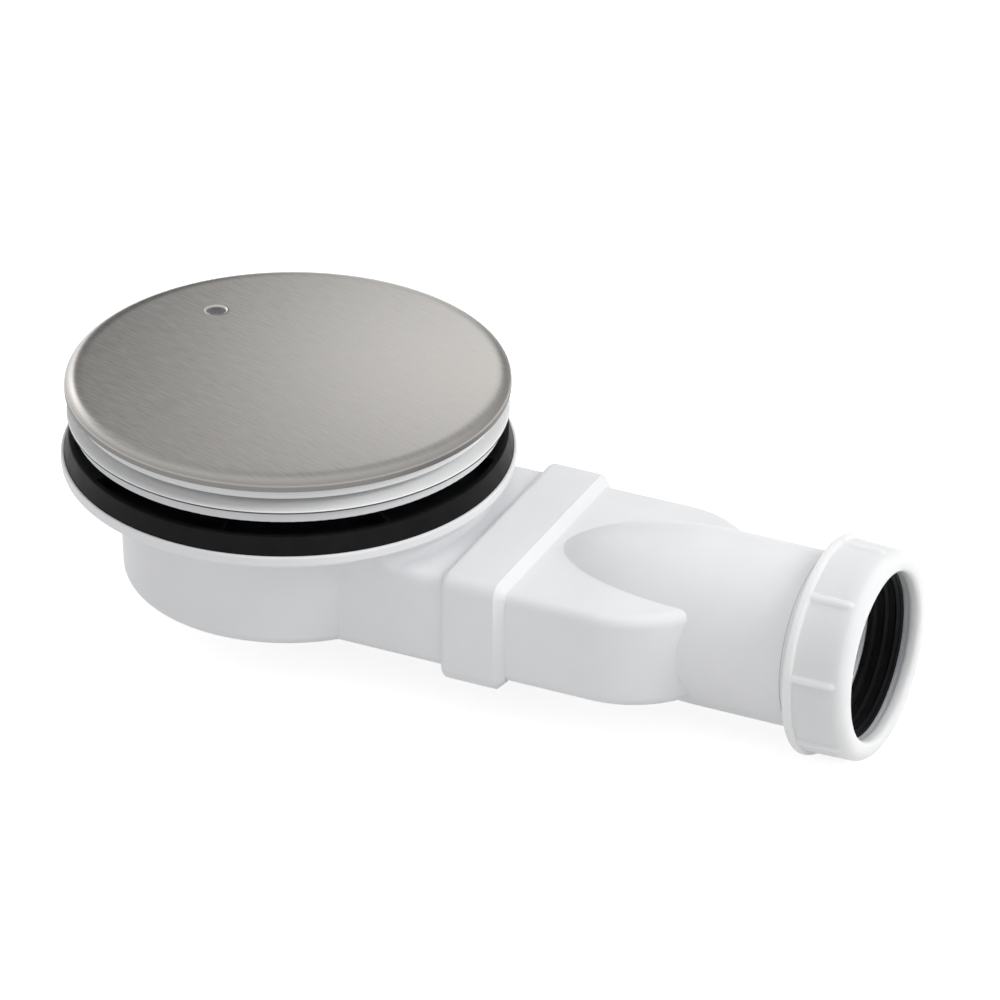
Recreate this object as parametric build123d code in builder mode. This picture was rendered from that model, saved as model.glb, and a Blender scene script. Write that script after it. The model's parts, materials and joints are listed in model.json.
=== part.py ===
from build123d import *
import os
from math import cos, radians, sin, sqrt

# Slim shower trap for a 90 mm waste hole, in millimetres.
# The origin is on the axis of the waste hole, at the top face of the tray seal.
# +Z is up and +X runs along the outlet.

# What it fits
waste_hole_d = 90.0
waste_pipe_d = 43.0
tray_gap = 3.5

# Fits
slip_fit = 0.3
nest_gap = 0.1
bond_gap = 0.15
thread_room = 0.25

# Steel cover
cover_d = 115.0
cover_sheet = 0.8
cover_rim_h = 3.2
cover_edge_r = 2.2
cover_crown = 1.2
lift_hole_d = 5.0
lift_hole_round = 0.5
lift_hole_reach = 38.1
lift_hole_angle = 146.0

# Cover carrier
carrier_wall = 1.8
carrier_edge_r = 1.2
carrier_inner_edge_r = 0.6
carrier_hole_room = 1.0
skirt_inset = 2.2
skirt_show = 2.95
inlet_gap = 1.55
fin_count = 6
fin_t = 1.8
fin_foot = 6.0
leg_w = 6.0
leg_drop = 8.0

# Clamp flange and its neck
flange_inset = 0.4
flange_edge_t = 0.6
flange_t = 2.0
flange_slope_w = 8.1
throat_round = 4.0
neck_room = 3.9
neck_wall = 2.4
neck_reach = 10.1
ledge_w = 4.0
ledge_t = 2.4
key_notch_count = 4
key_notch_w = 8.0
key_notch_depth = 2.4

# Gasket under the clamp flange
gasket_inset = 1.5
gasket_t = 3.15
gasket_edge_r = 0.3

# Tray seal
seal_h = 4.9
seal_land_w = 11.8
seal_flare = 1.4
seal_rim_w = 1.3
seal_inner_rim_w = 3.0
seal_recess = 2.6
seal_edge_r = 0.4
web_count = 8
web_t = 1.0
web_phase = 9.0

# Trap body
body_flange_margin = 0.7
body_flange_t = 3.2
body_flange_edge_r = 1.0
body_flange_top_r = 0.4
flange_root_r = 5.0
locating_lip_h = 3.0
locating_lip_w = 3.3
pot_wall = 2.8
pot_draft = 0.8
pot_h = 32.0
pot_floor_t = 2.6
pot_round = 3.0
body_wall = 2.4
duct_w = 63.7
duct_h = 26.1
duct_round = 3.0
duct_end = 71.7
shoulder_inset = 5.9
shoulder_foot_r = 2.0
weir_window = 5.2

# Dip tube
dip_rim_h = 6.0
dip_wall = 1.8
dip_mouth_d = 62.0
dip_floor_gap = 2.9
handle_t = 2.0
handle_h = 8.0
ring_section = 2.4
ring_squeeze_gap = 0.05
groove_room = 0.4

# Outlet pipe with its collar and flat section
collar_lap = 12.5
collar_band = 15.3
collar_step = 2.4
collar_round = 4.0
collar_edge_r = 2.1
flat_len = 55.3
flat_corner_r = 27.0
flat_edge_r = 3.0
pipe_lift = 0.85
pipe_wall = 2.4
nose_len = 50.6
nose_setback = 5.0
quarter_turn = 90.0
pipe_run = 26.3
shoulder_step = 0.35
relief_w = 3.6
thread_wall = 2.15
thread_rise = 2.05
thread_len = 8.75
thread_chamfer = 0.8
socket_depth = 7.0

# Compression nut, washer and seal
nut_lead = 0.7
nut_len = 16.75
nut_wall = 2.45
nut_draft = 0.4
nut_round = 3.0
nut_mouth_room = 0.5
nut_mouth_round = 1.2
nut_lip_t = 3.2
bead_rise = 1.0
bead_w = 2.6
bead_round = 0.9
rib_count = 8
rib_phase = 35.0
rib_w = 1.8
rib_len = 11.5
rib_below_bead = 0.15
washer_t = 1.5
washer_room = 0.7
sleeve_wall = 0.8
sleeve_room = 0.2
sleeve_clear = 0.25
lip_count = 3
lip_h = 0.55
lip_w = 1.4
seal_front_chamfer = 0.5

# Heights of the stack, worked out from the tray seal's top face
gasket_top = tray_gap + gasket_t
flange_top = gasket_top + flange_t
skirt_z = flange_top + inlet_gap
cover_lip_z = skirt_z + skirt_show
cover_rim_z = cover_lip_z + cover_rim_h
body_top = -seal_h
body_under = body_top - body_flange_t
pot_base = body_under - pot_h
duct_top = pot_base + duct_h
duct_mid = pot_base + duct_h / 2
neck_bottom = body_top - neck_reach
ledge_top = neck_bottom + ledge_t

# Radii about the waste hole's axis
flange_r = cover_d / 2 - flange_inset
gasket_r = flange_r - gasket_inset
hole_r = waste_hole_d / 2
neck_ro = hole_r - neck_room
neck_ri = neck_ro - neck_wall
ledge_ri = neck_ri - ledge_w
pot_bore_r = neck_ro + slip_fit
pot_r = pot_bore_r + pot_wall
pot_base_r = pot_r - pot_draft
pot_bore_base_r = pot_base_r - pot_wall
weir_ro = (pot_r + pot_base_r) / 2
lip_r = pot_bore_r + locating_lip_w
seal_bore_r = lip_r + slip_fit
seal_top_r = hole_r + seal_land_w
seal_base_r = seal_top_r + seal_flare
body_flange_r = seal_base_r + body_flange_margin
shoulder_r = body_flange_r - shoulder_inset

# Radii about the outlet's axis, worked outwards from the waste pipe
mouth_r = waste_pipe_d / 2 + nut_mouth_room
washer_bore_r = waste_pipe_d / 2 + washer_room
sleeve_ri = waste_pipe_d / 2 + sleeve_clear
sleeve_ro = sleeve_ri + sleeve_wall
socket_r = sleeve_ro + sleeve_room
thread_r = socket_r + thread_wall
pipe_r = thread_r - thread_rise
nut_bore_r = thread_r + thread_room
nut_back_r = nut_bore_r + nut_wall
nut_front_r = nut_back_r - nut_draft
bead_r = nut_back_r + bead_rise

# Places along the outlet
collar_start = duct_end - collar_lap
flat_end = duct_end + flat_len
nose_root = flat_end - nose_setback
shoulder_x = nose_root + pipe_run
thread_start = shoulder_x + relief_w
pipe_end = thread_start + thread_len
nut_start = thread_start - nut_lead
nut_end = nut_start + nut_len
nut_seat_x = nut_end - nut_lip_t
washer_x = nut_seat_x - washer_t

pipe_z = duct_mid + pipe_lift
pipe_axis = Axis((0, 0, pipe_z), (1, 0, 0))
pipe_plane = Plane(origin=(0, 0, pipe_z), x_dir=(1, 0, 0), z_dir=(0, -1, 0))


def corner(sketch, point):
    """The vertex of a sketch that lies nearest to a point of its plane."""
    return sketch.vertices().sort_by_distance((*point, 0))[0]


def revolve_outline(points, axis=Axis.Z, plane=Plane.XZ, rounds=(), mode=Mode.ADD):
    """Turn a closed outline about an axis, with (point, radius) corners rounded first."""
    with BuildSketch(plane) as outline:
        with BuildLine():
            Polyline(*points, close=True)
        make_face()
        for point, radius in rounds:
            fillet(corner(outline, point), radius)
    revolve(outline.sketch, axis=axis, mode=mode)


def domed_disc(radius, rim, edge_r, bottom, mode=Mode.ADD):
    """A disc with the cover's crown and a rounded rim, from its rim's height down to bottom."""
    dome_r = (radius**2 + cover_crown**2) / (2 * cover_crown)
    with BuildSketch(Plane.XZ) as outline:
        with BuildLine():
            Polyline((0, rim + cover_crown), (0, bottom), (radius, bottom), (radius, rim))
            RadiusArc((radius, rim), (0, rim + cover_crown), -dome_r)
        make_face()
        fillet(corner(outline, (radius, rim)), edge_r)
    revolve(outline.sketch, axis=Axis.Z, mode=mode)


def flat_section(inset, start, mode=Mode.ADD):
    """The outlet's flat length with two rounded corners in plan, drawn in by inset."""
    length = flat_end - inset - start
    with BuildSketch(Plane.XY.offset(pot_base + inset)) as outline:
        with Locations((start, 0)):
            Rectangle(length, duct_w - 2 * inset, align=(Align.MIN, Align.CENTER))
        fillet(outline.vertices().group_by(Axis.X)[-1], flat_corner_r - inset)
    extrude(outline.sketch, amount=duct_h - 2 * inset, mode=mode)


def pipe_with_nose(inset, steps, mode=Mode.ADD):
    """A pipe about the outlet's axis with a long domed nose; steps is its outline past the nose."""
    radius = pipe_r - inset
    length = nose_len - inset
    tip = (nose_root - length, 0)
    with BuildSketch(pipe_plane) as outline:
        with BuildLine():
            EllipticalCenterArc(
                (nose_root, 0), length, radius, start_angle=quarter_turn, arc_size=quarter_turn
            )
            Polyline((nose_root, radius), *steps, (steps[-1][0], 0), tip)
        make_face()
    revolve(outline.sketch, axis=pipe_axis, mode=mode)


lift_hole_place = (
    lift_hole_reach * cos(radians(lift_hole_angle)),
    lift_hole_reach * sin(radians(lift_hole_angle)),
)

with BuildPart() as cover_plate:
    domed_disc(cover_d / 2, cover_rim_z, cover_edge_r, cover_lip_z)
    domed_disc(
        cover_d / 2 - cover_sheet,
        cover_rim_z - cover_sheet,
        cover_edge_r - cover_sheet,
        cover_lip_z,
        mode=Mode.SUBTRACT,
    )
    with BuildSketch(Plane.XY.offset(cover_lip_z)):
        with Locations(lift_hole_place):
            Circle(lift_hole_d / 2)
    extrude(amount=cover_rim_h + cover_crown, mode=Mode.SUBTRACT)
    hole_edges = cover_plate.edges(Select.LAST).group_by(Axis.Z)[-1]
    fillet(hole_edges, lift_hole_round)

skirt_r = cover_d / 2 - skirt_inset
carrier_rim_z = cover_rim_z - cover_sheet - nest_gap
carrier_under = carrier_rim_z - carrier_wall + cover_crown
leg_out = neck_ri - slip_fit
foot_out = neck_ri + throat_round + fin_foot
fin_planes = [Plane.XZ.rotated((0, 0, 360 / fin_count * i)) for i in range(fin_count)]

with BuildPart() as cover_carrier:
    domed_disc(skirt_r, carrier_rim_z, carrier_edge_r, skirt_z)
    domed_disc(
        skirt_r - carrier_wall,
        carrier_rim_z - carrier_wall,
        carrier_inner_edge_r,
        skirt_z,
        mode=Mode.SUBTRACT,
    )
    with BuildSketch(*fin_planes):
        with BuildLine():
            Polyline(
                (leg_out - leg_w, carrier_under),
                (foot_out, carrier_under),
                (foot_out, flange_top),
                (leg_out, flange_top),
                (leg_out, flange_top - leg_drop),
                (leg_out - leg_w, flange_top - leg_drop),
                close=True,
            )
        make_face()
    extrude(amount=fin_t / 2, both=True)
    with BuildSketch(Plane.XY.offset(skirt_z)):
        with Locations(lift_hole_place):
            Circle(lift_hole_d / 2 + carrier_hole_room)
    extrude(amount=cover_rim_z + cover_crown - skirt_z, mode=Mode.SUBTRACT)

with BuildPart() as clamp_flange:
    revolve_outline(
        [
            (flange_r, gasket_top),
            (flange_r, gasket_top + flange_edge_t),
            (flange_r - flange_slope_w, flange_top),
            (neck_ri, flange_top),
            (neck_ri, ledge_top),
            (ledge_ri, ledge_top),
            (ledge_ri, neck_bottom),
            (neck_ro, neck_bottom),
            (neck_ro, gasket_top),
        ],
        rounds=[
            ((neck_ri, flange_top), throat_round),
            ((flange_r, gasket_top + flange_edge_t), flange_edge_t / 2),
        ],
    )
    with BuildSketch(Plane.XY.offset(neck_bottom)):
        with PolarLocations(ledge_ri, key_notch_count):
            Rectangle(2 * key_notch_depth, key_notch_w)
    extrude(amount=ledge_t, mode=Mode.SUBTRACT)

with BuildPart() as flange_gasket:
    revolve_outline(
        [
            (neck_ro + slip_fit, tray_gap),
            (gasket_r, tray_gap),
            (gasket_r, gasket_top),
            (neck_ro + slip_fit, gasket_top),
        ],
        rounds=[
            ((gasket_r, tray_gap), gasket_edge_r),
            ((gasket_r, gasket_top), gasket_edge_r),
        ],
    )

recess_ri = seal_bore_r + seal_inner_rim_w
recess_ro = seal_top_r - seal_rim_w

with BuildPart() as tray_seal:
    revolve_outline(
        [
            (seal_bore_r, body_top),
            (seal_base_r, body_top),
            (seal_top_r, 0),
            (recess_ro, 0),
            (recess_ro, -seal_recess),
            (recess_ri, -seal_recess),
            (recess_ri, 0),
            (seal_bore_r, 0),
        ],
        rounds=[((seal_top_r, 0), seal_edge_r)],
    )
    with BuildSketch(Plane.XY.offset(-seal_recess)):
        with PolarLocations((recess_ri + recess_ro) / 2, web_count, start_angle=web_phase):
            Rectangle(recess_ro - recess_ri + seal_rim_w, web_t)
    extrude(amount=seal_recess)

# Where the shoulder over the duct meets the duct's sides, and how near a level an edge is picked
shoulder_side_x = sqrt(shoulder_r**2 - (duct_w / 2) ** 2)
pick_room = 0.1

with BuildPart() as trap_body:
    revolve_outline(
        [
            (0, pot_base),
            (pot_base_r, pot_base),
            (pot_r, body_under),
            (body_flange_r, body_under),
            (body_flange_r, body_top),
            (lip_r, body_top),
            (lip_r, body_top + locating_lip_h),
            (0, body_top + locating_lip_h),
        ],
        rounds=[
            ((pot_base_r, pot_base), pot_round),
            ((pot_r, body_under), flange_root_r),
            ((body_flange_r, body_under), body_flange_edge_r),
            ((body_flange_r, body_top), body_flange_top_r),
        ],
    )
    with BuildSketch(Plane.YZ) as duct_outline:
        with Locations((0, duct_mid)):
            Rectangle(duct_w, duct_h)
        fillet(duct_outline.vertices().group_by(Axis.Y)[0], duct_round)
    extrude(amount=duct_end)
    with BuildSketch(Plane.XY.offset(duct_mid)):
        Circle(shoulder_r)
        Rectangle(shoulder_r, duct_w, align=(Align.MIN, Align.CENTER), mode=Mode.INTERSECT)
    extrude(amount=body_under - duct_mid)
    roof_edges = trap_body.edges().filter_by_position(Axis.Z, duct_top - pick_room, duct_top + pick_room)
    fillet(roof_edges.filter_by(GeomType.CIRCLE), shoulder_foot_r)
    for side in (-duct_w / 2, duct_w / 2):
        side_edges = trap_body.edges().filter_by_position(Axis.Y, side - pick_room, side + pick_room)
        upper_edges = side_edges.filter_by_position(Axis.Z, duct_top - pick_room, body_under - pick_room)
        fillet(upper_edges.filter_by_position(Axis.X, shoulder_side_x - pick_room, duct_end), duct_round)
    with BuildSketch(Plane.XY.offset(pot_base + body_wall)):
        Rectangle(duct_end, duct_w - 2 * body_wall, align=(Align.MIN, Align.CENTER))
        Circle(weir_ro, mode=Mode.SUBTRACT)
    extrude(amount=duct_h - 2 * body_wall, mode=Mode.SUBTRACT)
    with BuildSketch(Plane.XY.offset(duct_top - body_wall)):
        Rectangle(weir_ro, duct_w - 2 * body_wall, align=(Align.MIN, Align.CENTER))
    extrude(amount=-weir_window, mode=Mode.SUBTRACT)
    with BuildSketch(Plane.XY.offset(duct_mid)):
        Circle(shoulder_r - body_wall)
        Rectangle(shoulder_r, duct_w - 2 * body_wall, align=(Align.MIN, Align.CENTER), mode=Mode.INTERSECT)
        Circle(weir_ro, mode=Mode.SUBTRACT)
    extrude(amount=body_under - duct_mid, mode=Mode.SUBTRACT)
    revolve_outline(
        [
            (0, pot_base + pot_floor_t),
            (pot_bore_base_r, pot_base + pot_floor_t),
            (pot_bore_r, neck_bottom),
            (pot_bore_r, body_top + locating_lip_h),
            (0, body_top + locating_lip_h),
        ],
        rounds=[((pot_bore_base_r, pot_base + pot_floor_t), pot_round)],
        mode=Mode.SUBTRACT,
    )

rim_r = neck_ri - slip_fit
ring_r = neck_ri - ring_squeeze_gap - ring_section / 2
groove_r = ring_r - ring_section / 2 - ring_squeeze_gap
groove_mid = ledge_top + dip_rim_h / 2
groove_half = (ring_section + groove_room) / 2
tube_ro = ledge_ri - slip_fit
dip_bottom = pot_base + pot_floor_t + dip_floor_gap
dip_top = ledge_top + dip_rim_h

with BuildPart() as dip_tube:
    revolve_outline(
        [
            (tube_ro, ledge_top),
            (rim_r, ledge_top),
            (rim_r, groove_mid - groove_half),
            (groove_r, groove_mid - groove_half),
            (groove_r, groove_mid + groove_half),
            (rim_r, groove_mid + groove_half),
            (rim_r, dip_top),
            (tube_ro - dip_wall, dip_top),
            (tube_ro - dip_wall, neck_bottom),
            (dip_mouth_d / 2 - dip_wall, dip_bottom),
            (dip_mouth_d / 2, dip_bottom),
            (tube_ro, neck_bottom),
        ],
    )
    with BuildSketch(Plane.XY.offset(dip_top)):
        Rectangle(handle_t, 2 * tube_ro - dip_wall)
    extrude(amount=-handle_h)

with BuildPart() as dip_tube_ring:
    with BuildSketch(Plane.XZ):
        with Locations((ring_r, groove_mid)):
            Circle(ring_section / 2)
    revolve(axis=Axis.Z)

with BuildPart() as outlet_pipe:
    flat_section(0, duct_end)
    long_edges = outlet_pipe.edges().filter_by(Plane.XY)
    fillet(long_edges.sort_by(Axis.X)[2:], flat_edge_r)
    with BuildSketch(Plane.YZ.offset(collar_start)):
        with Locations((0, duct_mid)):
            RectangleRounded(duct_w + 2 * collar_step, duct_h + 2 * collar_step, collar_round)
    extrude(amount=collar_band)
    fillet(outlet_pipe.faces().sort_by(Axis.X)[0].edges(), collar_edge_r)
    with BuildSketch(Plane.YZ.offset(collar_start + collar_band)):
        with Locations((0, duct_mid)):
            RectangleRounded(duct_w + 2 * collar_step, duct_h + 2 * collar_step, collar_round)
    extrude(amount=collar_step - bond_gap, taper=45)
    pipe_with_nose(
        0,
        [
            (shoulder_x, pipe_r),
            (shoulder_x, pipe_r - shoulder_step),
            (thread_start, pipe_r - shoulder_step),
            (thread_start, thread_r),
            (pipe_end - thread_chamfer, thread_r),
            (pipe_end, thread_r - thread_chamfer),
        ],
    )
    with BuildSketch(Plane.YZ.offset(collar_start)):
        with Locations((0, duct_mid)):
            RectangleRounded(duct_w + 2 * bond_gap, duct_h + 2 * bond_gap, duct_round + bond_gap)
    extrude(amount=duct_end - collar_start, mode=Mode.SUBTRACT)
    flat_section(pipe_wall, duct_end, mode=Mode.SUBTRACT)
    pipe_with_nose(
        pipe_wall,
        [
            (pipe_end - socket_depth, pipe_r - pipe_wall),
            (pipe_end - socket_depth, socket_r),
            (pipe_end, socket_r),
        ],
        mode=Mode.SUBTRACT,
    )

rib_angles = [radians(rib_phase + 360 / rib_count * i) for i in range(rib_count)]
rib_x = nut_start + bead_w + rib_len / 2 - rib_w / 2
rib_planes = [
    Plane(origin=(rib_x, 0, pipe_z), x_dir=(1, 0, 0), z_dir=(0, cos(a), sin(a))) for a in rib_angles
]
rib_top_r = bead_r - rib_below_bead
rib_root_r = (nut_bore_r + nut_front_r) / 2

with BuildPart() as compression_nut:
    revolve_outline(
        [
            (nut_start, nut_bore_r),
            (nut_start, bead_r),
            (nut_start + bead_w, bead_r),
            (nut_start + bead_w, nut_back_r),
            (nut_end, nut_front_r),
            (nut_end, mouth_r),
            (nut_seat_x, mouth_r),
            (nut_seat_x, nut_bore_r),
        ],
        axis=pipe_axis,
        plane=pipe_plane,
        rounds=[
            ((nut_start, bead_r), bead_round),
            ((nut_start + bead_w, bead_r), bead_round),
            ((nut_end, nut_front_r), nut_round),
            ((nut_end, mouth_r), nut_mouth_round),
        ],
    )
    with BuildSketch(*[plane.offset(rib_root_r) for plane in rib_planes]):
        SlotOverall(rib_len + rib_w, rib_w)
    extrude(amount=rib_top_r - rib_root_r)

with BuildPart() as slip_washer:
    with BuildSketch(Plane.YZ.offset(washer_x)):
        with Locations((0, pipe_z)):
            Circle(nut_bore_r - slip_fit)
            Circle(washer_bore_r, mode=Mode.SUBTRACT)
    extrude(amount=washer_t)

sleeve_start = pipe_end - socket_depth + sleeve_room
lip_pitch = (washer_x - sleeve_start) / lip_count
lip_places = [sleeve_start + lip_pitch * (i + 0.5) for i in range(lip_count)]
lip_outline = [
    point
    for x in reversed(lip_places)
    for point in (
        (x + lip_w / 2, sleeve_ri),
        (x, sleeve_ri - lip_h),
        (x - lip_w / 2, sleeve_ri),
    )
]

with BuildPart() as compression_seal:
    revolve_outline(
        [
            (sleeve_start, sleeve_ri),
            (sleeve_start, sleeve_ro),
            (pipe_end, sleeve_ro),
            (pipe_end, thread_r - thread_chamfer),
            (washer_x, thread_r - thread_chamfer),
            (washer_x, sleeve_ri + seal_front_chamfer),
            (washer_x - seal_front_chamfer, sleeve_ri),
            *lip_outline,
        ],
        axis=pipe_axis,
        plane=pipe_plane,
    )

pieces = {
    "cover_plate": cover_plate,
    "cover_carrier": cover_carrier,
    "clamp_flange": clamp_flange,
    "flange_gasket": flange_gasket,
    "tray_seal": tray_seal,
    "trap_body": trap_body,
    "dip_tube": dip_tube,
    "dip_tube_ring": dip_tube_ring,
    "outlet_pipe": outlet_pipe,
    "compression_nut": compression_nut,
    "slip_washer": slip_washer,
    "compression_seal": compression_seal,
}

os.makedirs("parts", exist_ok=True)
for name, piece in pieces.items():
    piece.part.label = name
    export_step(piece.part, f"parts/{name}.step")
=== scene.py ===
import json
import math

import bmesh
import bpy
from mathutils import Euler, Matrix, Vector


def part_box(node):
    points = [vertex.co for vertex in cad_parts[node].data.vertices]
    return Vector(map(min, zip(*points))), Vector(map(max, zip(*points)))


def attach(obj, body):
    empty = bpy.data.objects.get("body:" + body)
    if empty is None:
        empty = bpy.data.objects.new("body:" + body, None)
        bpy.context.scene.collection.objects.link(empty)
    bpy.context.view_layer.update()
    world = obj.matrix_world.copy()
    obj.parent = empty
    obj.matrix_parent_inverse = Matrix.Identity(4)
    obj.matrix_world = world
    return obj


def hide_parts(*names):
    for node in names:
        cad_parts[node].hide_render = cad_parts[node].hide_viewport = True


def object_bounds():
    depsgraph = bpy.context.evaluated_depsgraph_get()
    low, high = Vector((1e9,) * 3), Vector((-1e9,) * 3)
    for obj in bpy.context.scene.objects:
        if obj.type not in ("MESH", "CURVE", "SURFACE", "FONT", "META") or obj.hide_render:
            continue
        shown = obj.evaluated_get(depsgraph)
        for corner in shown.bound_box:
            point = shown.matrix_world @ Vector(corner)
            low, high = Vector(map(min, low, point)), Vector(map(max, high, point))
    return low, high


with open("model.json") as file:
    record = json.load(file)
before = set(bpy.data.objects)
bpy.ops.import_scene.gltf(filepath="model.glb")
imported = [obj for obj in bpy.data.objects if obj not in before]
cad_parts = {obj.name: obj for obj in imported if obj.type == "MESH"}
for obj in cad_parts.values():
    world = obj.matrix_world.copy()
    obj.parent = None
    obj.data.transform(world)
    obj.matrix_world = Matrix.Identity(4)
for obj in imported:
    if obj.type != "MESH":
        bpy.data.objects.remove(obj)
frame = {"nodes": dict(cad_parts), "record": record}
cad_box = [list(corner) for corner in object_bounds()]

MM = 0.001
UP = Vector((0, 0, 1))
WHITE = (1, 1, 1, 1)

# Camera at the photograph's viewing angle, in metres in the part's frame
VIEW_AZIMUTH = math.radians(25.401)
VIEW_ELEVATION = math.radians(29.4)
CAMERA_PLACE = Vector((0.80353, -1.56518, 0.96956))
LENS = 280.37
SENSOR = 36.0
CLIP_END = 50.0
ACROSS_VIEW = Vector((math.cos(VIEW_AZIMUTH), math.sin(VIEW_AZIMUTH), 0))
ALONG_VIEW = Vector((-math.sin(VIEW_AZIMUTH), math.cos(VIEW_AZIMUTH), 0))

# Floor, in metres, with its gap under the part
FLOOR_SIZE = 14.0
FLOOR_GAP = 0.2 * MM
FLOOR_TONE = 0.66
FLOOR_GLOW = 0.75

# Room light by direction: an even room, and behind the part a row of bright and dark panels with an even
# wall above them, for the steel cover to mirror. Places and heights are shares of a direction, from -1 to 1.
ROOM_LEVEL = 0.62
WALL_LEVEL = 0.46
PANEL_REACH = 0.5
PANEL_PLACES_AND_LEVELS = [
    (-PANEL_REACH, 2.4),
    (-0.3, 2.2),
    (-0.2, 0.26),
    (-0.1, 0.26),
    (0.04, 1.22),
    (0.1, 1.1),
    (0.24, 0.5),
    (PANEL_REACH, 0.3),
]
PANEL_FOOT_SHARE = 0.6
PANEL_FOOT = (0.34, 0.47)
PANEL_TOP = (0.46, 0.62)
BEHIND_PART = (0.4, 0.75)
LAMP_TARGET = Vector((0.05, 0, -0.02))

# Cover plate, in millimetres, about the waste hole's axis
cover_low, cover_high = (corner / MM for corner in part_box("cover_plate"))
COVER_R = cover_high.x
COVER_CROWN = 1.2
COVER_SHEET = 0.8
COVER_FOOT = cover_high.z - COVER_CROWN - cover_low.z
ROLL_W = 5.0
ROLL_H = 2.0
ROLL_POWER = 2.5
ROLL_BEND = 2 / ROLL_POWER
ROLL_START_R = COVER_R - ROLL_W
FOOT_ROUND = 0.15
COVER_AXIS = Vector((0, 0))
LIFT_HOLE = Vector((-31.59, 21.31))
HOLE_R = 2.5
HOLE_RIM_W = 0.6
HOLE_RIM_H = 0.45
HOLE_RIM_R = HOLE_R + HOLE_RIM_W
COVER_TURNS = 256
HOLE_RIM_STEPS = 6
DOME_STEPS = 24
DOME_STEP_POWER = 1.5
ROLL_STEPS = 24
INNER_ROLL_STEPS = 12

# Steel finish, with features per metre along and across the brushing. Facing is 1 on the level top and
# 0 on the upright lip, and a pair of facings says where a change starts and ends.
BRUSH_TURN = math.radians(18)
HAIRS = (170, 3000, 0)
STREAKS = (60, 1300, 0)
HAIR_SHARE = 0.75
MID_NOISE = 0.5
STEEL_DARK = (0.51, 0.49, 0.466)
STEEL_LIGHT = (0.71, 0.688, 0.66)
BRUSHED_FACING = (0.86, 0.99)
ROLL_BRUSHING = 0.15
# Painted shade for the darker reflections of the upright lip and the rolled edge: their colour is darkened
# by how far they face away from up.
LIP_FACING = (0.0, 0.35)
LIP_PAINTED_SHADE = 0.42
ROLL_FACING = (0.6, 0.97)
ROLL_PAINTED_SHADE = 0.8
DULL_FACING = (0.85, 0.99)
ROLL_DULLNESS = 0.3
STEEL_ROUGHNESS = (0.16, 0.22)
RIM_SHINE = 1.4
RIM_FADE = 0.2

# Painted shadow of the gap between the clamp flange's edge and the gasket, a dark band along the foot of the
# edge, in metres
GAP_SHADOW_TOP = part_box("flange_gasket")[1].z + 0.42 * MM
GAP_SHADOW_FADE = 0.05 * MM
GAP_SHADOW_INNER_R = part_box("clamp_flange")[1].x - 2.0 * MM
GAP_SHADOW_INNER_FADE = 0.1 * MM
GAP_SHADOW_LEVEL = 0.02

# Plastic and rubber finishes, in features per metre
PLASTIC_MOTTLE = (60, 60, 60)
PLASTIC_GRAIN = (2600, 2600, 2600)
PLASTIC_GLOSS_CHANGE = 0.03
SCATTER_DEPTH = 7 * MM
SCATTER_COLOUR = (1.0, 0.9, 0.8)
RUBBER_MOTTLE = (220, 220, 220)
RUBBER_GRAIN = (1800, 1800, 1800)
RUBBER_GLOSS_CHANGE = 0.05

# Compression nut, in millimetres and degrees, about the outlet's axis
nut_low, nut_high = (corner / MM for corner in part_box("compression_nut"))
OUTLET_Z = (nut_low.z + nut_high.z) / 2
BEAD_R = (nut_high.y - nut_low.y) / 2
BEAD_W = 2.6
BEAD_ROUND = 0.9
NUT_BACK_R = BEAD_R - 1.0
NUT_FRONT_R = NUT_BACK_R - 0.4
NUT_BORE_R = NUT_BACK_R - 2.45
NUT_ROUND = 3.0
MOUTH_R = 22.0
MOUTH_ROUND = 1.2
LIP_T = 3.2
RIB_COUNT = 8
RIB_SECTOR = 360 / RIB_COUNT
RIB_PHASE = 35.0
RIB_RISE = 0.85
RIB_HALF_W = 1.35
RIB_TOP_HALF_W = 0.35
RIB_END_X = nut_low.x + BEAD_W + 10.2
RIB_REACH = 3.6
RIB_STEPS = 18
PLAIN_STEPS = 12
OUTLINE_STEP = 0.4

SHARP_ANGLE = math.radians(40)


def socket_values(node, **values):
    """Set a node's inputs by name, with underscores for spaces."""
    for name, value in values.items():
        node.inputs[name.replace("_", " ")].default_value = value


def new_material(name):
    """A node material with its own Principled shader."""
    material = bpy.data.materials.new(name)
    material.use_nodes = True
    tree = material.node_tree
    tree.nodes.clear()
    output = tree.nodes.new("ShaderNodeOutputMaterial")
    shader = tree.nodes.new("ShaderNodeBsdfPrincipled")
    tree.links.new(shader.outputs["BSDF"], output.inputs["Surface"])
    return material, tree, shader


def scaled_noise(tree, scale, turn=0.0, detail=4.0, roughness=0.55):
    """Noise in the part's own frame, turned about Z; scale is features per metre along X, Y and Z."""
    place = tree.nodes.new("ShaderNodeTexCoord")
    turned = tree.nodes.new("ShaderNodeMapping")
    stretched = tree.nodes.new("ShaderNodeMapping")
    noise = tree.nodes.new("ShaderNodeTexNoise")
    socket_values(turned, Rotation=(0, 0, turn))
    socket_values(stretched, Scale=scale)
    socket_values(noise, Scale=1.0, Detail=detail, Roughness=roughness)
    tree.links.new(place.outputs["Object"], turned.inputs["Vector"])
    tree.links.new(turned.outputs["Vector"], stretched.inputs["Vector"])
    tree.links.new(stretched.outputs["Vector"], noise.inputs["Vector"])
    return noise.outputs["Fac"]


def ramp_between(tree, factor, low, high, start=0.3, end=0.7):
    """A colour ramp from low to high as the factor goes from start to end."""
    ramp = tree.nodes.new("ShaderNodeValToRGB")
    first, last = ramp.color_ramp.elements
    first.position, last.position = start, end
    first.color, last.color = (*low, 1), (*high, 1)
    tree.links.new(factor, ramp.inputs["Fac"])
    return ramp.outputs["Color"]


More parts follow.
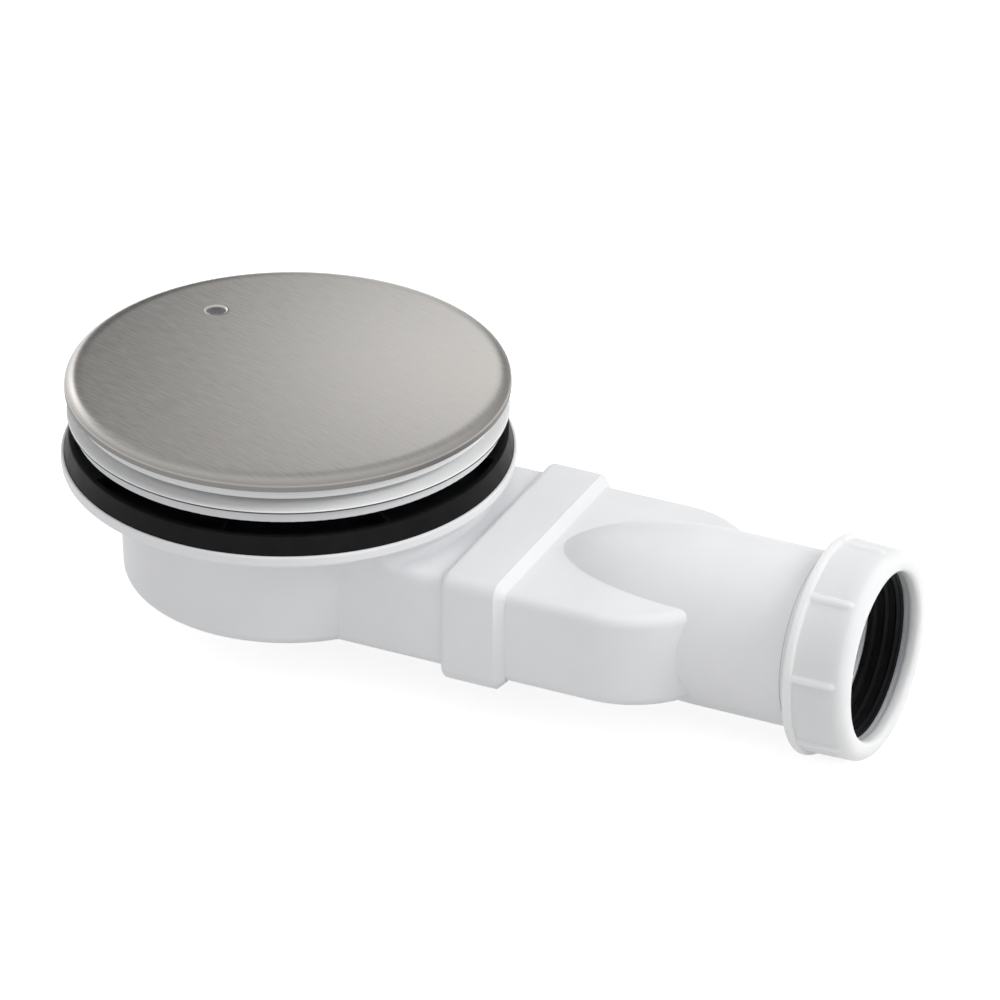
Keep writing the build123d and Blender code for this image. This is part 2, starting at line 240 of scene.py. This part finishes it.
def range_between(tree, factor, low, high, start=0.3, end=0.7):
    """A number that goes smoothly from low to high as the factor goes from start to end."""
    spread = tree.nodes.new("ShaderNodeMapRange")
    spread.interpolation_type = "SMOOTHSTEP"
    socket_values(spread, From_Min=start, From_Max=end, To_Min=low, To_Max=high)
    tree.links.new(factor, spread.inputs["Value"])
    return spread.outputs["Result"]


def combined(tree, operation, first, second):
    """The result of a Math node on two sockets, or on a socket and a number."""
    node = tree.nodes.new("ShaderNodeMath")
    node.operation = operation
    tree.links.new(first, node.inputs[0])
    if isinstance(second, float):
        node.inputs[1].default_value = second
    else:
        tree.links.new(second, node.inputs[1])
    return node.outputs["Value"]


def tinted(tree, colour, factor):
    """A colour multiplied by a factor."""
    node = tree.nodes.new("ShaderNodeVectorMath")
    node.operation = "SCALE"
    tree.links.new(colour, node.inputs[0])
    tree.links.new(factor, node.inputs["Scale"])
    return node.outputs["Vector"]


def upward(tree):
    """How far a surface faces up: 1 on top, 0 on an upright side."""
    geometry = tree.nodes.new("ShaderNodeNewGeometry")
    split = tree.nodes.new("ShaderNodeSeparateXYZ")
    tree.links.new(geometry.outputs["Normal"], split.inputs["Vector"])
    return split.outputs["Z"]


def bump(tree, shader, height, strength, distance):
    """Give a shader a bump of a real height, in metres."""
    node = tree.nodes.new("ShaderNodeBump")
    socket_values(node, Strength=strength, Distance=distance)
    tree.links.new(height, node.inputs["Height"])
    tree.links.new(node.outputs["Normal"], shader.inputs["Normal"])


def distance_from(tree, centre):
    """How far a point of the part lies, in plan, from an upright axis through centre."""
    place = tree.nodes.new("ShaderNodeTexCoord")
    flat = tree.nodes.new("ShaderNodeMapping")
    apart = tree.nodes.new("ShaderNodeVectorMath")
    socket_values(flat, Scale=(1, 1, 0))
    apart.operation = "DISTANCE"
    apart.inputs[1].default_value = (*centre, 0)
    tree.links.new(place.outputs["Object"], flat.inputs["Vector"])
    tree.links.new(flat.outputs["Vector"], apart.inputs[0])
    return apart.outputs["Value"]


def height_of(tree):
    """A point's height in the part's frame."""
    place = tree.nodes.new("ShaderNodeTexCoord")
    split = tree.nodes.new("ShaderNodeSeparateXYZ")
    tree.links.new(place.outputs["Object"], split.inputs["Vector"])
    return split.outputs["Z"]


def brushed_lines(tree, facing):
    """Straight hairs and broader streaks on the top, which fade on the rolled edge."""
    hairs = scaled_noise(tree, HAIRS, BRUSH_TURN, detail=5, roughness=0.68)
    streaks = scaled_noise(tree, STREAKS, BRUSH_TURN, detail=3)
    hairs = combined(tree, "MULTIPLY", hairs, HAIR_SHARE)
    streaks = combined(tree, "MULTIPLY", streaks, 1 - HAIR_SHARE)
    lines = combined(tree, "ADD", combined(tree, "ADD", hairs, streaks), -MID_NOISE)
    fade = range_between(tree, facing, ROLL_BRUSHING, 1.0, *BRUSHED_FACING)
    return combined(tree, "ADD", combined(tree, "MULTIPLY", lines, fade), MID_NOISE)


def brushed_steel():
    """Fine straight brushing, with a duller rolled edge, painted shade that darkens the rolled edge and the
    lip, and a bright rim round the lift hole.
    """
    material, tree, shader = new_material("brushed_steel_with_painted_edge_shade")
    facing = upward(tree)
    lines = brushed_lines(tree, facing)
    tint = ramp_between(tree, lines, STEEL_DARK, STEEL_LIGHT)
    # Painted shade: the lip and the rolled edge are darkened by their facing.
    lip = range_between(tree, facing, LIP_PAINTED_SHADE, 1.0, *LIP_FACING)
    roll = range_between(tree, facing, ROLL_PAINTED_SHADE, 1.0, *ROLL_FACING)
    from_hole = distance_from(tree, LIFT_HOLE * MM)
    rim = range_between(tree, from_hole, 1.0, 0.0, HOLE_RIM_R * MM, (HOLE_RIM_R + RIM_FADE) * MM)
    edge = combined(tree, "MULTIPLY", lip, roll)
    shade = combined(tree, "MAXIMUM", edge, combined(tree, "MULTIPLY", rim, RIM_SHINE))
    tree.links.new(tinted(tree, tint, shade), shader.inputs["Base Color"])
    dull = range_between(tree, facing, ROLL_DULLNESS, 0.0, *DULL_FACING)
    roughness = combined(tree, "ADD", range_between(tree, lines, *STEEL_ROUGHNESS), dull)
    tree.links.new(roughness, shader.inputs["Roughness"])
    bump(tree, shader, lines, strength=0.3, distance=0.02 * MM)
    socket_values(shader, Metallic=1.0)
    return material


def with_painted_gap_shadow(tree, colour):
    """A colour with a painted shadow, for the gap between the clamp flange's edge and the gasket, at the
    foot of the edge.
    """
    above = range_between(tree, height_of(tree), GAP_SHADOW_LEVEL, 1.0, GAP_SHADOW_TOP - GAP_SHADOW_FADE, GAP_SHADOW_TOP)
    from_axis = distance_from(tree, COVER_AXIS)
    within = range_between(tree, from_axis, 1.0, 0.0, GAP_SHADOW_INNER_R, GAP_SHADOW_INNER_R + GAP_SHADOW_INNER_FADE)
    return tinted(tree, colour, combined(tree, "MAXIMUM", above, within))


def moulded_plastic(name, low, high, roughness, scatter=0.0, gap_shadow=False):
    """Satin moulded plastic with a faint mottle and a fine grain, and with the painted gap shadow if asked
    for.
    """
    material, tree, shader = new_material(name)
    mottle = scaled_noise(tree, PLASTIC_MOTTLE, detail=3)
    grain = scaled_noise(tree, PLASTIC_GRAIN, detail=2)
    colour = ramp_between(tree, mottle, low, high)
    # Painted shadow of the gap between the flange's edge and the gasket.
    if gap_shadow:
        colour = with_painted_gap_shadow(tree, colour)
    tree.links.new(colour, shader.inputs["Base Color"])
    satin = range_between(tree, mottle, roughness - PLASTIC_GLOSS_CHANGE, roughness + PLASTIC_GLOSS_CHANGE)
    tree.links.new(satin, shader.inputs["Roughness"])
    bump(tree, shader, grain, strength=0.08, distance=0.02 * MM)
    if scatter:
        socket_values(shader, Subsurface_Weight=scatter, Subsurface_Scale=SCATTER_DEPTH)
        socket_values(shader, Subsurface_Radius=SCATTER_COLOUR)
    return material


def soft_rubber(name, low, high, roughness, gloss):
    """Matt rubber with a faint cloudiness and a fine grain."""
    material, tree, shader = new_material(name)
    mottle = scaled_noise(tree, RUBBER_MOTTLE, detail=4)
    grain = scaled_noise(tree, RUBBER_GRAIN, detail=3)
    tree.links.new(ramp_between(tree, mottle, low, high), shader.inputs["Base Color"])
    matt = range_between(tree, mottle, roughness - RUBBER_GLOSS_CHANGE, roughness + RUBBER_GLOSS_CHANGE)
    tree.links.new(matt, shader.inputs["Roughness"])
    bump(tree, shader, grain, strength=0.15, distance=0.03 * MM)
    socket_values(shader, Specular_IOR_Level=gloss)
    return material


finishes = {
    "brushed_steel": brushed_steel(),
    "white_plastic": moulded_plastic(
        "white_plastic_finish", low=(0.79, 0.795, 0.81), high=(0.82, 0.825, 0.84), roughness=0.42
    ),
    "nut_plastic": moulded_plastic(
        "nut_plastic_finish",
        low=(0.84, 0.841, 0.835),
        high=(0.865, 0.864, 0.858),
        roughness=0.40,
        scatter=0.8,
    ),
    "pale_gasket": soft_rubber(
        "pale_gasket_finish", low=(0.71, 0.72, 0.74), high=(0.75, 0.758, 0.775), roughness=0.6, gloss=0.4
    ),
    "black_rubber": soft_rubber(
        "black_rubber_finish",
        low=(0.004, 0.004, 0.0045),
        high=(0.008, 0.008, 0.009),
        roughness=0.5,
        gloss=0.12,
    ),
}
# Painted light: the clamp flange has a lighter copy of the white plastic, to brighten it where it lies in
# shade under the cover, and it carries the painted gap shadow.
painted_light_flange_plastic = moulded_plastic(
    "flange_plastic_painted_light_and_shadow", low=(0.90, 0.905, 0.905), high=(0.93, 0.935, 0.93), roughness=0.42, gap_shadow=True
)
slot_of = {part["node"]: part["material_slot"] for part in frame["record"]["subparts"]}
for node, piece in frame["nodes"].items():
    for slot in piece.material_slots:
        slot.material = painted_light_flange_plastic if node == "clamp_flange" else finishes[slot_of[node]]


def closed_loft(name, slot, node, rows):
    """Add a piece that stands for a CAD node: a skin through rows of points, closed both ways."""
    size, count = len(rows[0]), len(rows)
    faces = []
    for i in range(count):
        for j in range(size):
            here, after = i * size, (i + 1) % count * size
            k = (j + 1) % size
            faces.append((here + j, here + k, after + k, after + j))
    mesh = bpy.data.meshes.new(name)
    mesh.from_pydata([point * MM for row in rows for point in row], [], faces)
    shaped = bmesh.new()
    shaped.from_mesh(mesh)
    bmesh.ops.recalc_face_normals(shaped, faces=shaped.faces)
    shaped.to_mesh(mesh)
    shaped.free()
    mesh.shade_smooth()
    mesh.set_sharp_from_angle(angle=SHARP_ANGLE)
    mesh.materials.append(finishes[slot])
    piece = bpy.data.objects.new(name, mesh)
    bpy.context.scene.collection.objects.link(piece)
    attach(piece, "root")
    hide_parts(node)


def quarter_steps(count):
    """Sines and cosines over a quarter turn."""
    turns = [math.pi / 2 * k / count for k in range(count + 1)]
    return [(math.sin(turn), math.cos(turn)) for turn in turns]


def cover_row(centre, radius, sink):
    """A ring of the cover about an upright axis through centre, so far under its domed top."""
    row = []
    for k in range(COVER_TURNS):
        turn = math.tau * k / COVER_TURNS
        place = centre + radius * Vector((math.cos(turn), math.sin(turn)))
        top = cover_high.z - COVER_CROWN * (place.length / COVER_R) ** 2
        row.append(Vector((place.x, place.y, top - sink)))
    return row


def dome_row(share, sink):
    """A ring of the dome, from the lift hole's rim at share 0 to the start of the rolled edge at share 1."""
    radius = HOLE_RIM_R + (ROLL_START_R - HOLE_RIM_R) * share
    return cover_row(LIFT_HOLE * (1 - share), radius, sink)


def roll_row(sine, cosine, inset):
    """A ring of the rolled edge, a superellipse; inset is 0 outside and the sheet's thickness inside."""
    radius = ROLL_START_R + (ROLL_W - inset) * sine**ROLL_BEND
    return cover_row(COVER_AXIS, radius, inset + (ROLL_H - inset) * (1 - cosine**ROLL_BEND))


# Steel cover: from the lift hole's rounded rim over the dome, round the rolled edge and back underneath
dome_shares = [(k / DOME_STEPS) ** DOME_STEP_POWER for k in range(1, DOME_STEPS + 1)]
cover_rows = [
    cover_row(LIFT_HOLE, HOLE_RIM_R - HOLE_RIM_W * cosine, HOLE_RIM_H * (1 - sine))
    for sine, cosine in quarter_steps(HOLE_RIM_STEPS)
]
cover_rows += [dome_row(share, 0) for share in dome_shares]
cover_rows += [roll_row(sine, cosine, 0) for sine, cosine in quarter_steps(ROLL_STEPS)[1:]]
cover_rows += [
    cover_row(COVER_AXIS, COVER_R, COVER_FOOT - FOOT_ROUND),
    cover_row(COVER_AXIS, COVER_R - FOOT_ROUND, COVER_FOOT),
    cover_row(COVER_AXIS, COVER_R - COVER_SHEET + FOOT_ROUND, COVER_FOOT),
    cover_row(COVER_AXIS, COVER_R - COVER_SHEET, COVER_FOOT - FOOT_ROUND),
]
cover_rows += [
    roll_row(sine, cosine, COVER_SHEET) for sine, cosine in reversed(quarter_steps(INNER_ROLL_STEPS))
]
cover_rows += [dome_row(share, COVER_SHEET) for share in reversed(dome_shares[:-1])]
cover_rows.append(cover_row(LIFT_HOLE, HOLE_R, COVER_SHEET))
closed_loft("rolled_steel_cover", "brushed_steel", "cover_plate", cover_rows)


def rounded_outline(corners, steps=10):
    """Points round a closed outline of (along, radius, rounding) corners."""
    points = []
    for i, (along, radius, rounding) in enumerate(corners):
        here = Vector((along, radius))
        if not rounding:
            points.append(here)
            continue
        before = (Vector(corners[i - 1][:2]) - here).normalized()
        after = (Vector(corners[(i + 1) % len(corners)][:2]) - here).normalized()
        half = before.angle(after) / 2
        centre = here + (before + after).normalized() * rounding / math.sin(half)
        first = (here + before * rounding / math.tan(half) - centre).normalized()
        last = (here + after * rounding / math.tan(half) - centre).normalized()
        points += [centre + first.slerp(last, k / steps).normalized() * rounding for k in range(steps + 1)]
    return points


def divided(points, longest):
    """A closed outline with its long runs divided into steps no longer than longest."""
    finer = []
    for here, after in zip(points, points[1:] + points[:1]):
        count = max(1, math.ceil((after - here).length / longest))
        finer += [here.lerp(after, k / count) for k in range(count)]
    return finer


def eased(value):
    """0 below 0, 1 above 1, and a smooth step between."""
    value = min(1.0, max(0.0, value))
    return value * value * (3 - 2 * value)


def nut_radius(point, turn):
    """The nut's own radius, or the top of a soft rib where one stands higher."""
    if point.y <= NUT_BORE_R or point.x < nut_low.x + BEAD_W / 2:
        return point.y
    offset = (math.degrees(turn) - RIB_PHASE + RIB_SECTOR / 2) % RIB_SECTOR - RIB_SECTOR / 2
    aside = math.radians(offset) * NUT_BACK_R
    past_end = max(0.0, point.x - RIB_END_X)
    nearness = (RIB_HALF_W - math.hypot(aside, past_end)) / (RIB_HALF_W - RIB_TOP_HALF_W)
    if nearness <= 0:
        return point.y
    share = (point.x - nut_low.x - BEAD_W) / (nut_high.x - nut_low.x - BEAD_W)
    skin = NUT_BACK_R + (NUT_FRONT_R - NUT_BACK_R) * share
    return max(point.y, min(BEAD_R, skin + RIB_RISE * eased(nearness)))


def nut_point(point, turn):
    """A point of the nut's outline, turned about the outlet's axis."""
    radius = nut_radius(point, turn)
    return Vector((point.x, radius * math.cos(turn), OUTLET_Z + radius * math.sin(turn)))


# Nut: an outline of (along, radius, rounding) corners turned about the outlet, with fine steps near the ribs
nut_corners = [
    (nut_low.x, NUT_BORE_R, 0),
    (nut_low.x, BEAD_R, BEAD_ROUND),
    (nut_low.x + BEAD_W, BEAD_R, BEAD_ROUND),
    (nut_low.x + BEAD_W, NUT_BACK_R, 0),
    (nut_high.x, NUT_FRONT_R, NUT_ROUND),
    (nut_high.x, MOUTH_R, MOUTH_ROUND),
    (nut_high.x - LIP_T, MOUTH_R, 0),
    (nut_high.x - LIP_T, NUT_BORE_R, 0),
]
nut_outline = divided(rounded_outline(nut_corners), OUTLINE_STEP)
near_rib = [RIB_REACH * (2 * k / RIB_STEPS - 1) for k in range(RIB_STEPS + 1)]
between_ribs = [RIB_REACH + (RIB_SECTOR - 2 * RIB_REACH) * k / PLAIN_STEPS for k in range(1, PLAIN_STEPS)]
rib_turns = [RIB_PHASE + RIB_SECTOR * i for i in range(RIB_COUNT)]
nut_turns = [math.radians(turn + step) for turn in rib_turns for step in near_rib + between_ribs]
nut_rows = [[nut_point(point, turn) for point in nut_outline] for turn in nut_turns]
closed_loft("soft_ribbed_nut", "nut_plastic", "compression_nut", nut_rows)


def make_floor():
    """Add a pale floor that looks white, with the object's soft shadow on it."""
    bpy.ops.mesh.primitive_plane_add(size=FLOOR_SIZE, location=(0, 0, cad_box[0][2] - FLOOR_GAP))
    floor = bpy.context.object
    floor.name = "floor"
    material, tree, shader = new_material("floor_finish")
    socket_values(shader, Base_Color=(FLOOR_TONE, FLOOR_TONE, FLOOR_TONE, 1), Roughness=0.8)
    socket_values(shader, Specular_IOR_Level=0.0, Emission_Color=WHITE)
    path = tree.nodes.new("ShaderNodeLightPath")
    seen = combined(tree, "MAXIMUM", path.outputs["Is Camera Ray"], path.outputs["Is Glossy Ray"])
    seen = combined(tree, "MAXIMUM", seen, path.outputs["Is Transmission Ray"])
    tree.links.new(combined(tree, "MULTIPLY", seen, FLOOR_GLOW), shader.inputs["Emission Strength"])
    floor.data.materials.append(material)


def share_along(tree, axis):
    """How far a direction of the room lies along an axis, from -1 to 1."""
    direction = tree.nodes.new("ShaderNodeTexCoord")
    node = tree.nodes.new("ShaderNodeVectorMath")
    node.operation = "DOT_PRODUCT"
    node.inputs[1].default_value = axis
    tree.links.new(direction.outputs["Generated"], node.inputs[0])
    return node.outputs["Value"]


def panel_levels(tree, across):
    """The level of the panels, by how far a direction lies to the right of the view."""
    ramp = tree.nodes.new("ShaderNodeValToRGB")
    ramp.color_ramp.interpolation = "EASE"
    stops = ramp.color_ramp.elements
    for place, _ in PANEL_PLACES_AND_LEVELS[1:-1]:
        stops.new(place + PANEL_REACH)
    for stop, (place, level) in zip(stops, PANEL_PLACES_AND_LEVELS):
        stop.position = place + PANEL_REACH
        stop.color = (level, level, level, 1)
    tree.links.new(combined(tree, "ADD", across, PANEL_REACH), ramp.inputs["Fac"])
    return ramp.outputs["Color"]


def light_room():
    """Light the scene softly from all round, with the panels and the wall behind the part."""
    world = bpy.data.worlds.new("studio")
    bpy.context.scene.world = world
    world.use_nodes = True
    tree = world.node_tree
    sky = tree.nodes["Background"]
    socket_values(sky, Color=WHITE)
    height = share_along(tree, UP)
    along = share_along(tree, ALONG_VIEW)
    panels = panel_levels(tree, share_along(tree, ACROSS_VIEW))
    foot = range_between(tree, height, PANEL_FOOT_SHARE, 1.0, *PANEL_FOOT)
    below_top = range_between(tree, height, 1.0, 0.0, *PANEL_TOP)
    panels = combined(tree, "MULTIPLY", combined(tree, "MULTIPLY", panels, foot), below_top)
    wall = range_between(tree, height, 0.0, WALL_LEVEL, *PANEL_TOP)
    behind = range_between(tree, along, 0.0, 1.0, *BEHIND_PART)
    backdrop = combined(tree, "MULTIPLY", combined(tree, "ADD", panels, wall), behind)
    room = range_between(tree, along, ROOM_LEVEL, 0.0, *BEHIND_PART)
    tree.links.new(combined(tree, "ADD", backdrop, room), sky.inputs["Strength"])


def softbox(name, place, size, watts):
    """Add a large area light that looks at the part, and that shiny surfaces don't mirror."""
    data = bpy.data.lights.new(name, "AREA")
    data.shape = "RECTANGLE"
    data.size, data.size_y = size
    data.energy = watts
    lamp = bpy.data.objects.new(name, data)
    bpy.context.scene.collection.objects.link(lamp)
    lamp.location = place
    lamp.rotation_euler = (LAMP_TARGET - lamp.location).to_track_quat("-Z", "Y").to_euler()
    lamp.visible_glossy = False


def add_camera():
    """Add the camera at the photograph's viewing angle."""
    data = bpy.data.cameras.new("camera")
    data.lens = LENS
    data.sensor_width = SENSOR
    data.clip_end = CLIP_END
    camera = bpy.data.objects.new("camera", data)
    bpy.context.scene.collection.objects.link(camera)
    camera.location = CAMERA_PLACE
    camera.rotation_euler = Euler((math.pi / 2 - VIEW_ELEVATION, 0, VIEW_AZIMUTH))
    bpy.context.scene.camera = camera


make_floor()
light_room()
softbox("overhead", place=(0.3, -0.1, 1.7), size=(1.4, 1.4), watts=6)
softbox("right", place=(1.55, 0.4, 1.1), size=(1.2, 1.0), watts=17.5)
softbox("front", place=(-0.2, -2.0, 0.8), size=(1.4, 0.8), watts=2.2)
add_camera()
bpy.context.scene.view_settings.view_transform = "Standard"
